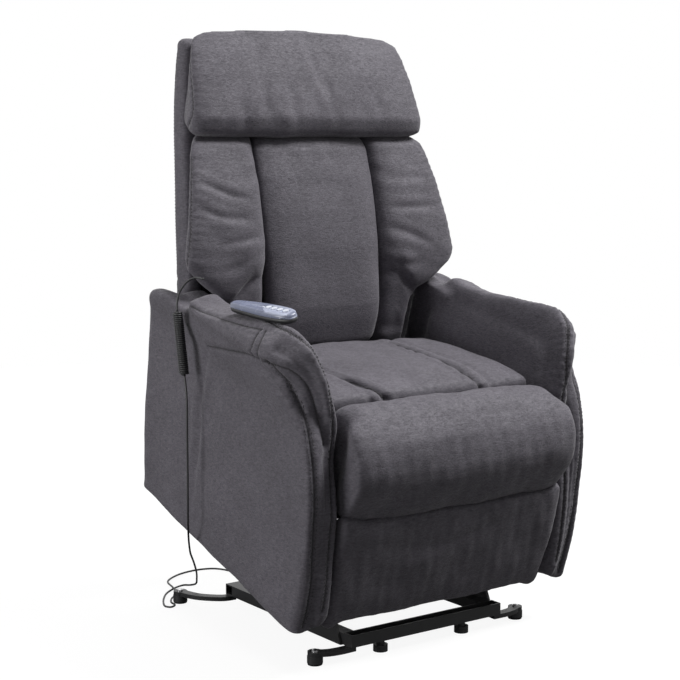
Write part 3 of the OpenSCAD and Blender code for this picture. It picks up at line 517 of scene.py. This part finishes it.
            # Painted shadow: a thin dark tube sunk along each line of the seams stands in for the shade in
            # its groove.
            if len(q) > 3:
                ring(lv, lf, q - nn * 0.0005, t, nn, THREAD_AND_SHADOW_R)
            for off in offsets:
                side = np.cross(t, nn)
                shifted = q + side * off / 1000
                sh = [tree.find_nearest(Vector(x)) for x in shifted]
                sp, sn = np.array([h[0] for h in sh]), np.array([h[1] for h in sh])
                for i in range(2, len(sp) - 3, 4):
                    stitch(tv, tf, sp[i] + sn[i] * 0.0001, sp[i + 2] + sn[i + 2] * 0.0001, sn[i], THREAD_AND_SHADOW_R)
        if tv:
            self.thread(self.name + "_stitches", tv, tf, thread)
        if lv:
            self.thread(self.name + "_seam_lines", lv, lf, seam_shadow_line)

    # Adds thread pieces: the stitches, and also the dark tubes of painted shadow in the seams.
    def thread(self, name, verts, faces, material):
        ob = add_object(name, make_mesh(name, verts, faces))
        ob.data.materials.append(material)
        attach(ob, self.body)


def ring(verts, faces, path, t, up, r, sides=6):
    """A closed thin tube along path, added to the lists."""
    start = len(verts)
    for i in range(len(path)):
        w = np.cross(t[i], up[i])
        w /= np.linalg.norm(w) + 1e-12
        u = np.cross(w, t[i])
        for k in range(sides):
            a = 2 * math.pi * k / sides
            verts.append(path[i] + r * (math.cos(a) * u + math.sin(a) * w))
    for i in range(len(path) - 1):
        for k in range(sides):
            a, b = start + i * sides + k, start + i * sides + (k + 1) % sides
            faces.append((a, b, b + sides, a + sides))
    faces.append(tuple(start + k for k in range(sides - 1, -1, -1)))
    faces.append(tuple(start + (len(path) - 1) * sides + k for k in range(sides)))


def stitch(verts, faces, a, b, up, r):
    """One stitch: a small bowed capsule from a to b."""
    d = b - a
    length = np.linalg.norm(d)
    if length < 1e-5:
        return
    t = d / length
    mid = [a - up * r * 0.9, a + d * 0.2 + up * r * 0.3, a + d * 0.5 + up * r * 0.6,
           a + d * 0.8 + up * r * 0.3, b - up * r * 0.9]
    ring(verts, faces, np.array(mid), np.array([t] * 5), np.array([up] * 5), r, 5)


def mirrored(points):
    return [(-p[0], p[1], p[2]) for p in points]


# ---- arms: outer panel, inner frame and pad under one sewn cover
# seams of the left arm; the right arm mirrors them
ARM_SEAMS = {
    "gusset": [(-402, 239, 561), (-399, 194, 567), (-396, 150, 575), (-395, 100, 584), (-393, 55, 594),
               (-391, 18, 603), (-387, -17, 613)],
    "pucker": [(-387, -17, 613), (-402, -22, 604), (-415, -31, 590), (-415, -30, 575), (-408, -34, 562)],
    "tuck": [(-388, -32, 616), (-404, -45, 605), (-414, -54, 593), (-416, -55, 584), (-410, -58, 572)],
    "panel": [(-390, 165, 497), (-398, 107, 518), (-402, 56, 536), (-407, 6, 552), (-411, -42, 566),
              (-411, -76, 572), (-408, -90, 575)],
    "edge": [(-408, -90, 575), (-400, -110, 580), (-390, -130, 580), (-380, -145, 574), (-370, -159, 564),
             (-360, -172, 548), (-351, -182, 524), (-343, -192, 498), (-338, -205, 472), (-330, -217, 443)],
    "hollow": [(-388, -98, 598), (-374, -130, 596), (-362, -152, 584), (-350, -172, 560),
               (-340, -188, 532), (-332, -200, 500)],
    "inner": [(-356, 60, 622), (-366, 0, 632), (-372, -40, 634), (-370, -93, 636), (-354, -134, 628),
              (-342, -156, 606), (-332, -176, 576), (-325, -190, 546), (-319, -202, 514), (-315, -208, 484),
              (-312, -218, 431), (-316, -240, 376), (-320, -268, 322), (-322, -288, 251),
              (-324, -300, 178), (-326, -306, 106)],
    "front": [(-414, -79, 575), (-407, -100, 572), (-396, -116, 563), (-382, -138, 541), (-373, -158, 520),
              (-369, -178, 500), (-369, -202, 474), (-369, -220, 448), (-368, -238, 416), (-366, -258, 366),
              (-363, -272, 307), (-360, -284, 244), (-357, -292, 178), (-357, -295, 121), (-357, -294, 66)],
    "fold": [(-388, 168, 490), (-381, 178, 453), (-381, 178, 415), (-381, 176, 359), (-381, 166, 299),
             (-381, 157, 239), (-381, 150, 179), (-381, 141, 122)],
}


def arm_cover(side, place):
    inner, outer = side * 303, side * 352
    rear_fill = ((min(inner, outer), 225, 300), (max(inner, outer), 352, 552))
    s = Soft(place + "_arm_cover", [place + "_side_panel", place + "_arm_frame", place + "_arm_pad"],
             "chassis", voxel=6.0, relax=4, levels=1, fill=0.7, grow=0.8, close=13, blocks=[rear_fill])
    seams = {k: (v if side < 0 else mirrored(v)) for k, v in ARM_SEAMS.items()}
    p = s.p
    # The lower front stands forward, with the strip beside the roll furthest
    forward = ease(-p[:, 1], 100, 235) * ease(430 - p[:, 2], 0, 330)
    strip = ease(352 - np.abs(p[:, 0]), 0, 30) * ease(440 - p[:, 2], 0, 150) * ease(-p[:, 1], 120, 215)
    s.shift(np.stack([side * 1.5 * strip, -24 * forward - 32 * strip, 0 * forward], 1))
    p = s.p
    rim = ease(-p[:, 1], 50, 110) * ease(p[:, 2], 400, 500) * ease(362 - np.abs(p[:, 0]), 0, 40)
    s.push(7.0 * rim + 1.2 * field(p, 260, 11 + side) + 0.4 * field(p, 90, 12 + side))
    dist, _ = s.near(s.trace(seams["hollow"]), 60)
    s.push(-8.0 * bell(dist, 14))
    s.sew(seams["panel"], depth=2.6, width=4.0, puff=0.8, shade_width=2.6)
    s.sew(seams["edge"], depth=3.4, width=5.0, puff=1.6, shade_width=2.8)
    s.sew(seams["inner"], depth=2.8, width=3.4, puff=1.2, pucker=0.5, pitch=19,
          stitches=(-4.5, 4.5), shade_width=3.0)
    s.sew(seams["front"], depth=3.0, width=3.6, puff=1.3, pucker=0.4, pitch=21,
          stitches=(-6.5, 6.5), shade_width=3.0)
    s.sew(seams["gusset"], depth=2.4, width=3.6, puff=1.2, pucker=0.5, pitch=30)
    s.sew(seams["pucker"], depth=2.2, width=3.2, puff=0.9, pucker=0.6, pitch=14, stitches=(-4.0,))
    s.sew(seams["tuck"], depth=1.6, width=3.0, puff=0.7, pucker=0.5, pitch=14)
    s.crease(seams["fold"], depth=3.0, width=9, ridge=0.8)
    s.finish()


for side, place in SIDES:
    arm_cover(side, place)

# ---- rear cover panel
s = Soft("rear_cover", ["rear_panel"], "chassis", voxel=4.0, relax=3, levels=0, fill=0.2)
s.push(0.6 * field(s.p, 180, 21))
s.sew([(-322, 352, 76), (-150, 352, 76), (150, 352, 76), (322, 352, 76)],
      depth=1.4, width=3, puff=0.5, stitches=(5.0,))
s.finish()

# ---- seat
s = Soft("seat_cover", ["seat_cushion"], "chassis", voxel=5.0, relax=9, levels=1, fill=0.7, grow=1.0)
top = np.clip(s.n[:, 2], 0, 1)
s.push(top * (2.0 * bell(s.p[:, 0], 95) * bell(s.p[:, 1] - 20, 110) + 1.0 * field(s.p, 110, 31)))
SEAT_SEAM = dict(depth=6.0, width=6.0, puff=2.5, pucker=1.4, pitch=48, shade_width=3.0)
s.sew([(-168, 215, 444), (-172, 120, 465), (-178, 40, 480), (-176, -10, 490), (-164, -55, 492),
       (-150, -103, 495), (-131, -140, 488)], **SEAT_SEAM)
s.sew([(150, 215, 444), (142, 185, 452), (134, 86, 474), (130, -29, 494), (126, -108, 498), (132, -140, 488)],
      seed=4, **SEAT_SEAM)
s.crease([(-120, 60, 480), (-60, -20, 492), (-20, -110, 497)], depth=1.4, width=16)
s.crease([(110, -10, 492), (60, -60, 496), (30, -120, 497)], depth=1.2, width=14)
s.finish()

# ---- front roll
s = Soft("seat_roll_cover", ["seat_front_roll"], "chassis", voxel=5.0, relax=12, levels=1,
         fill=0.75, grow=1.6)
low = ease(345 - s.p[:, 2], 0, 45) * ease(-s.p[:, 1], 235, 275)
s.shift(np.stack([0 * low, -3 * low, -10 * low], 1))
ROLL_AXIS = [-232, 402]
ROUND_FROM, ROUND_R, ROUND_DEPTH = 252, 32, 19  # the ends turn in as an arc
away = s.p[:, 1:] - ROLL_AXIS
turn = np.clip((np.abs(s.p[:, 0]) - ROUND_FROM) / ROUND_R, 0, 1)
ends = ROUND_DEPTH * (1 - np.sqrt(1 - turn ** 2)) * np.clip(np.linalg.norm(away, axis=1) / 70, 0, 1)
away /= np.linalg.norm(away, axis=1)[:, None] + 1e-9
ends *= ease(-away[:, 0], -0.2, 0.3)
reach = 13 * np.sign(s.p[:, 0]) * ease(np.abs(s.p[:, 0]), 250, 282) * ease(-s.p[:, 1], 225, 255)
s.shift(np.stack([reach, away[:, 0] * ends, away[:, 1] * ends], 1))
s.push(1.5 * field(s.p * [1, 1, 1.6], 150, 41) + 0.5 * field(s.p, 50, 42))
s.crease([(-250, -262, 500), (-120, -268, 504), (60, -266, 502), (200, -262, 498)], depth=1.6, width=18)
s.crease([(-270, -306, 380), (-200, -312, 352), (-90, -314, 344)], depth=1.6, width=14)
s.finish()

# ---- footrest
s = Soft("footrest_cover", ["footrest_pad"], "footboard", voxel=5.0, relax=11, levels=1, fill=0.6, grow=1.2)
wide = ease(np.abs(s.p[:, 0]), 240, 292)
high = ease(s.p[:, 2], 240, 276)
deep = ease(s.p[:, 2], 200, 60)
# The lower edge stays higher between the arms, clear of the base's bars when the chair is lowered
drop = 8 + 11 * ease(np.abs(s.p[:, 0]), 244, 280)
s.shift(np.stack([np.sign(s.p[:, 0]) * 3.5 * wide, 0 * wide, (9 + 12 * wide) * high - drop * deep], 1))
front = np.clip(-s.n[:, 1], 0, 1)
low = np.clip((85 - s.p[:, 2]) / 40, 0, 1)
s.push(front * (1.4 * field(s.p, 140, 51) + 0.5 * field(s.p, 45, 52)))
s.shift(np.stack([0 * low, 0 * low, -6 * low * (1 - (s.p[:, 0] / 300) ** 2)], 1))
s.crease([(-264, -297, 246), (-117, -299, 216), (-8, -299, 213), (99, -297, 232), (230, -292, 262)],
         depth=2.6, width=15)
s.crease([(-240, -297, 150), (-120, -299, 128), (10, -299, 122)], depth=1.0, width=20)
s.finish()

# ---- back shell
s = Soft("back_shell_cover", ["back_shell"], "back", voxel=6.0, relax=4, levels=0, fill=0.3, grow=0.6)
s.push(1.2 * field(s.p, 220, 61))
SHELL_EDGE = 284
for x in (-SHELL_EDGE, SHELL_EDGE):
    s.sew([(x, 424, 330), (x, 462, 420), (x, 482, 500), (x, 545, 680), (x, 597, 828), (x, 622, 930),
           (x, 636, 1020)], depth=1.8, width=4.5, puff=0.6, stitches=(5.0,))
s.sew([(-SHELL_EDGE, 489, 520), (-120, 500, 520), (120, 500, 520), (SHELL_EDGE, 489, 520)],
      depth=2.0, width=4.5, puff=0.8, stitches=(5.0,))
s.finish()

# ---- headrest
s = Soft("headrest_cover", ["headrest_cushion"], "back", voxel=5.0, relax=7, levels=1, fill=0.8, grow=1.5)
p = s.p
wide = ease(np.abs(p[:, 0]), 120, 300) * ease(960 - p[:, 2], 0, 80)
taller = 12 * ease(p[:, 2], 900, 1062) - 3 * ease(905 - p[:, 2], 0, 30)
s.shift(np.stack([np.sign(p[:, 0]) * 9 * wide, 0 * wide, taller], 1))
p = s.p
front = np.clip(-s.n[:, 1] * 1.3, 0, 1)
warp = 14 * np.sin(p[:, 2] / 37.0) + 10 * np.sin(p[:, 2] / 19.0 + 1.3)
folds = np.sin((p[:, 0] + warp) / 9.5) * 0.55 + np.sin((p[:, 0] + 0.6 * warp) / 15.0 + 1.0) * 0.9
reach = bell(p[:, 0] + 30, 190) * bell(p[:, 2] - 960, 95)
s.push(front * (1.3 * folds * reach * (0.6 + 0.4 * field(p * [1, 1, 0.4], 120, 71))
                + 1.5 * field(p, 130, 72)))
s.crease([(14, 576, 1062), (18, 540, 1028), (22, 508, 994), (32, 484, 962)], depth=2.9, width=11)
s.crease([(41, 528, 1014), (44, 495, 976), (42, 473, 950)], depth=2.0, width=10)
s.crease([(-128, 508, 992), (-140, 470, 945), (-146, 452, 918)], depth=2.2, width=12)
s.crease([(-62, 500, 984), (-64, 470, 945), (-65, 450, 912)], depth=2.0, width=11)
s.crease([(-197, 484, 962), (-199, 465, 925), (-197, 462, 885)], depth=1.8, width=12)
s.crease([(176, 490, 970), (186, 462, 930)], depth=1.8, width=12)
for x in (-1, 1):
    s.sew([(x * 312, 500, 884), (x * 316, 486, 915), (x * 314, 510, 950), (x * 308, 545, 990),
           (x * 300, 578, 1026)],
          depth=2.0, width=4.0, puff=0.8, pucker=0.7, pitch=17, stitches=(5.0,), seed=x)
s.finish()

# ---- back centre panel
s = Soft("back_centre_cover", ["back_centre_cushion"], "back", voxel=5.0, relax=7, levels=1,
         fill=0.65, grow=1.4)
p = s.p
side = ease(np.abs(p[:, 0]), 100, 160)
down = np.clip(520 - p[:, 2], 0, 200)
s.shift(np.stack([np.sign(p[:, 0]) * 3.0 * side, 0 * side, -0.62 * down + 5 * ease(p[:, 2], 830, 860)], 1))
p = s.p
front = np.clip(-s.n[:, 1] * 1.3, 0, 1)
edge = 1 - bell(np.minimum(np.abs(np.abs(p[:, 0]) - 150), 60), 26)
s.push(front * (3.0 * edge * bell(p[:, 2] - 650, 200) + 0.9 * field(p, 150, 81)
                + 0.8 * bell(p[:, 2] - 845, 26) * np.sin(p[:, 0] / 11.0 + 0.8 * np.sin(p[:, 0] / 31.0))))
s.crease([(-120, 392, 772), (-20, 396, 780), (110, 392, 770)], depth=0.9, width=22)
s.finish()

# ---- wings
for side, place in SIDES:
    s = Soft("back_" + place + "_wing_cover", ["back_" + place + "_wing"], "back", voxel=5.0, relax=7,
             levels=1, fill=0.7, grow=1.6)
    p = s.p
    down = np.clip(505 - p[:, 2], 0, 200)
    inward = ease(210 - np.abs(p[:, 0]), 0, 30)
    lower = -1.15 * down + 5 * ease(p[:, 2], 830, 860)
    s.shift(np.stack([-side * 2.5 * inward, -0.35 * down * ease(360 - p[:, 1], 0, 60), lower], 1))
    x = np.abs(p[:, 0])
    slant = 44 * ease(388 - x, 0, 120) * ease(x, 205, 262) * ease(668 - p[:, 2], 0, 70)
    s.shift(np.stack([0 * slant, -0.25 * slant, -slant], 1))
    p = s.p
    x = np.abs(p[:, 0])
    front = np.clip(-s.n[:, 1] * 1.3, 0, 1)
    z = p[:, 2] + 0.12 * (x - 180) * np.sin(p[:, 2] / 90.0 + side)
    ripple = np.sin(z / 7.5 + 1.6 * np.sin(z / 33.0)) * 0.6 + np.sin(z / 13.0 + 0.7) * 0.7
    reach = 1.3 * np.exp(-np.abs(x - 180) / 55.0) + 0.5 * bell(x - 330, 40)
    s.push(front * (ripple * reach + 1.2 * field(p, 120, 91 + side)))
    if side < 0:
        s.crease([(-345, 403, 795), (-300, 386, 776), (-250, 374, 760), (-200, 372, 752)], depth=2.4, width=8)
        s.crease([(-352, 374, 744), (-292, 349, 722), (-200, 344, 716)], depth=2.4, width=8)
        s.crease([(-300, 319, 664), (-227, 324, 675), (-190, 330, 680)], depth=2.0, width=8)
        s.crease([(-300, 300, 606), (-256, 302, 619), (-200, 312, 636)], depth=2.0, width=9)
    else:
        s.crease([(184, 366, 726), (240, 360, 726), (330, 354, 732)], depth=2.2, width=8)
        s.crease([(184, 350, 680), (240, 330, 668), (310, 310, 646)], depth=2.2, width=9)
        s.crease([(190, 402, 782), (260, 398, 786), (320, 392, 790)], depth=1.4, width=9)
        s.crease([(190, 316, 610), (240, 306, 604), (290, 300, 612)], depth=1.6, width=9)
    edge = [(side * 384, 330, 616), (side * 382, 334, 660), (side * 372, 362, 710), (side * 358, 402, 770),
            (side * 344, 442, 830)]
    s.sew(edge, depth=2.2, width=4.0, puff=0.8, pucker=0.7, pitch=18, stitches=(5.0,), seed=side)
    s.finish()

# ---------------------------------------------------------------- hard pieces: the CAD nodes with finishes
# The handset's shell: slim and rounded, with a dark underside and a pale nose; its buttons stay CAD nodes
HANDSET_PLACE = (-356, 30, 621.6)
HANDSET_TILT = (-11, -14)
HANDSET_TURN = -77
HANDSET_HALF = 94.0
BUTTON_FROM, BUTTON_PITCH, BUTTONS = 20, 17, 4
HOLE_R, HOLE_Z, HOLE_SIDES = 6.35, (14.0, 30.0), 32


def handset_point(x, y, z):
    """A point of the handset's own frame, mm, in the row frame, metres."""
    a = math.radians(HANDSET_TURN)
    q = Vector((x * math.cos(a) - y * math.sin(a), x * math.sin(a) + y * math.cos(a), z))
    rx, ry = math.radians(HANDSET_TILT[0]), math.radians(HANDSET_TILT[1])
    q = Vector((q.x, q.y * math.cos(rx) - q.z * math.sin(rx), q.y * math.sin(rx) + q.z * math.cos(rx)))
    q = Vector((q.x * math.cos(ry) + q.z * math.sin(ry), q.y, -q.x * math.sin(ry) + q.z * math.cos(ry)))
    return to_row(np.array(q) + HANDSET_PLACE)


def handset_shell(name, levels, material, source, x0=-HANDSET_HALF, x1=HANDSET_HALF):
    """A closed shell lofted through levels [z, inset] of the handset's outline."""
    verts, faces, n = [], [], 64
    for z, d in levels:
        for k in range(n):
            a = 2 * math.pi * k / n
            c, sn = math.cos(a), math.sin(a)
            half = (x1 - x0) / 2 - d
            x = (x0 + x1) / 2 + half * math.copysign(abs(c) ** 0.55, c)
            w = (17.5 + 5.5 * float(ease(np.array(x), -70, 20))
                 - 2.0 * float(ease(np.array(x), 60, HANDSET_HALF)) - d)
            arch = 2.2 * (1 - (x / HANDSET_HALF) ** 2)
            verts.append(handset_point(x, w * math.copysign(abs(sn) ** 0.6, sn),
                                       z + (arch - 2.2 if z > 12 else 0)))
    for j in range(len(levels) - 1):
        for k in range(n):
            faces.append((j * n + k, j * n + (k + 1) % n, (j + 1) * n + (k + 1) % n, (j + 1) * n + k))
    faces.append(tuple(range(n - 1, -1, -1)))
    faces.append(tuple((len(levels) - 1) * n + k for k in range(n)))
    ob = add_object(name, make_mesh(name, verts, faces))
    ob.data.materials.append(material)
    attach(ob, "chassis")
    if source:
        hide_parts(source)
    return ob


def punch_holes(shell):
    """A hole for each button, so that it can be pressed."""
    for k in range(BUTTONS):
        verts = []
        for z in HOLE_Z:
            for i in range(HOLE_SIDES):
                a = i * math.pi / (HOLE_SIDES / 2)
                x = BUTTON_FROM + BUTTON_PITCH * k + HOLE_R * math.cos(a)
                verts.append(handset_point(x, HOLE_R * math.sin(a), z))
        faces = [tuple(range(HOLE_SIDES - 1, -1, -1)), tuple(range(HOLE_SIDES, 2 * HOLE_SIDES))]
        for i in range(HOLE_SIDES):
            j = (i + 1) % HOLE_SIDES
            faces.append((i, j, HOLE_SIDES + j, HOLE_SIDES + i))
        cutter = add_object("cutter", make_mesh("cutter", verts, faces, False))
        modify(shell, "BOOLEAN", operation="DIFFERENCE", solver="EXACT", object=cutter)
        cut = applied_mesh(shell)
        shell.modifiers.clear()
        shell.data = cut
        bpy.data.objects.remove(cutter)


handset_shell("handset_lower", [(0.3, 6), (0.8, 3), (2.5, 1), (6, 0.2), (11.6, 0.0)], black_plastic,
              "handset_base")
upper = handset_shell("handset_upper", [(11.8, 0.0), (13, 0), (17, 0.4), (20, 1.5), (22, 3.5), (22.9, 6.5),
                                        (23.1, 10)], handset_blue, "handset_cover")
nose = handset_shell("handset_nose", [(19.0, 1.3), (20.6, 1.3), (22.35, 3.5), (23.25, 6.5), (23.45, 10)],
                     handset_nose, None, 6.0, 90.0)
for shell in (upper, nose):
    punch_holes(shell)

FINISH = {
    black_steel: ["base_side_rails", "base_front_bar", "base_rear_bar", "base_pivot_brackets", "foot_arms",
                  "lift_actuator_clevis", "rear_lift_links", "lift_torque_tube", "front_lift_links",
                  "lift_tube", "chassis_plates", "seat_rails", "arm_brackets", "back_frame",
                  "back_hinge_brackets",
                  "footrest_drive_links", "footrest_upper_links", "footrest_brackets", "recline_track"],
    bright_steel: ["base_screws", "front_link_pins", "lift_rod", "chassis_pins", "seat_springs",
                   "recline_carriage"],
    black_plastic: ["foot_pads", "front_glides", "lift_motor", "control_box", "recline_motor", "cord_gland"],
    handset_pale: ["handset_buttons_a", "handset_buttons_b", "handset_buttons_c", "handset_buttons_d"],
    plywood: ["footrest_board"],
}
for material, names in FINISH.items():
    for n in names:
        ob = nodes[n]
        if ob.material_slots:
            for m in ob.material_slots:
                m.material = material
        else:
            ob.data.materials.append(material)

# ---------------------------------------------------------------- floor, world and lamps
FLOOR_R, FLOOR_SIDES = 4.4, 96
FLOOR_GREY = (0.12, 0.12, 0.12)
FLOOR_GLOW = 0.905  # seen by the camera only: with the lamps it comes to white, and the shadow stays
WORLD_LIGHT, WORLD_WHITE = 0.1, 1.0

half_sides = FLOOR_SIDES / 2
rim = [(FLOOR_R * math.cos(k * math.pi / half_sides), FLOOR_R * math.sin(k * math.pi / half_sides), 0)
       for k in range(FLOOR_SIDES)]
floor = add_object("floor", make_mesh("floor", rim, [tuple(range(FLOOR_SIDES))], False))
ground = Shader("floor", FLOOR_GREY, 0.9)
path = ground.tree.nodes.new("ShaderNodeLightPath")
glow = ground.node("ShaderNodeEmission", Color=(1, 1, 1, 1), Strength=FLOOR_GLOW)
both = ground.tree.nodes.new("ShaderNodeAddShader")
ground.link(ground.bsdf.outputs[0], both.inputs[0])
ground.link(glow.outputs[0], both.inputs[1])
pick = ground.tree.nodes.new("ShaderNodeMixShader")
ground.link(path.outputs["Is Camera Ray"], pick.inputs[0])
ground.link(ground.bsdf.outputs[0], pick.inputs[1])
ground.link(both.outputs[0], pick.inputs[2])
ground.link(pick.outputs[0], ground.out.inputs[0])
floor.data.materials.append(ground.material)

world = bpy.data.worlds.new("studio")
scene.world = world
world.use_nodes = True
tree = world.node_tree
tree.nodes.clear()


def background(strength):
    node = tree.nodes.new("ShaderNodeBackground")
    node.inputs["Color"].default_value = (1, 1, 1, 1)
    node.inputs["Strength"].default_value = strength
    return node


out = tree.nodes.new("ShaderNodeOutputWorld")
plain = background(WORLD_LIGHT)
white = background(WORLD_WHITE)
rays = tree.nodes.new("ShaderNodeLightPath")
seen = tree.nodes.new("ShaderNodeMath")
seen.operation = "MAXIMUM"
tree.links.new(rays.outputs["Is Camera Ray"], seen.inputs[0])
tree.links.new(rays.outputs["Is Glossy Ray"], seen.inputs[1])
mix = tree.nodes.new("ShaderNodeMixShader")
tree.links.new(seen.outputs[0], mix.inputs[0])
tree.links.new(plain.outputs[0], mix.inputs[1])
tree.links.new(white.outputs[0], mix.inputs[2])
tree.links.new(mix.outputs[0], out.inputs[0])


def lamp(name, place, aim, size, power):
    """A square lamp of this size in metres, turned towards aim."""
    data = bpy.data.lights.new(name, "AREA")
    data.size = size
    data.energy = power
    ob = add_object(name, data)
    ob.location = place
    ob.rotation_euler = (Vector(aim) - Vector(place)).to_track_quat("-Z", "Y").to_euler()


lamp("key", (3.1, -2.0, 5.9), (0, 0, 0.8), 2.2, 500)
lamp("side", (-3.0, 0.3, 0.8), (-0.4, 0, 0.5), 1.0, 38)
lamp("over", (-0.9, 0.4, 3.6), (-0.3, 0, 0.8), 1.0, 22)
lamp("edge", (3.0, -0.6, 1.3), (0.4, 0, 0.6), 0.8, 12)
